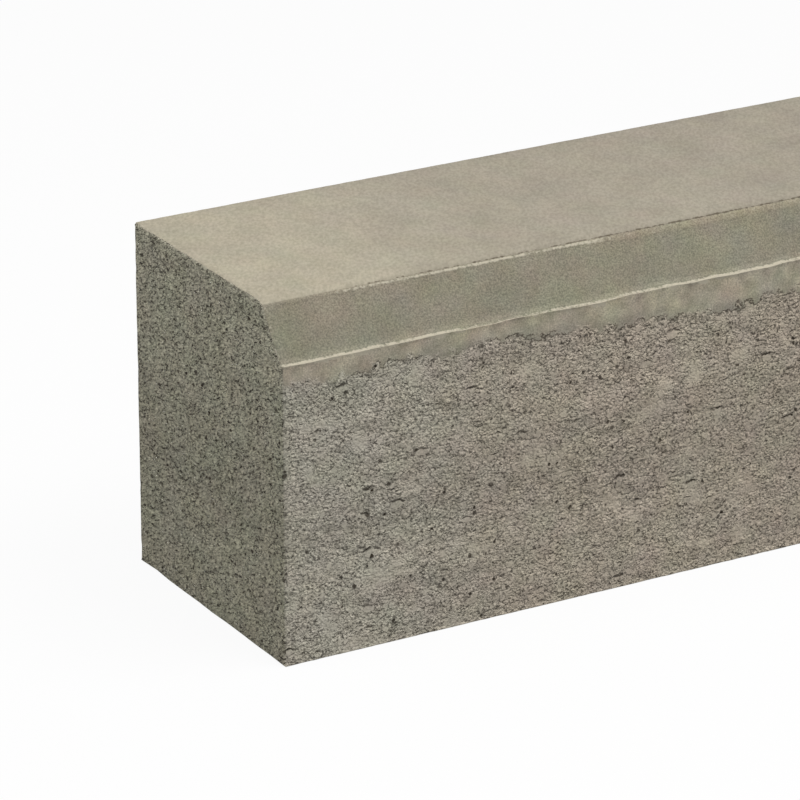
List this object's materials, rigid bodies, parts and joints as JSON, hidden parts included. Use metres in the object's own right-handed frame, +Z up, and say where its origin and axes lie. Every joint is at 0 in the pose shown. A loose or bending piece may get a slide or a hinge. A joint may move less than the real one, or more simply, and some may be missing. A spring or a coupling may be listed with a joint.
{
  "type": "concrete kerb stone",
  "caption": "Straight concrete kerb stone with a level top, a splay along the top of the road face and a narrow lip at the splay's foot; edges a road, path or bed.",
  "frame": {"origin": "middle of the bed, on the floor", "axes": "+X along the kerb, +Y from the road face to the back face, +Z up from the bed to the top"},
  "size_m": [1, 0.2, 0.24],
  "materials": {
    "concrete": "raw pressed concrete: top and splay smooth from the mould, road face, ends, back and bed open and grainy"
  },
  "bodies": {
    "root": {"kerb_stone": "concrete"}
  },
  "joints": []
}
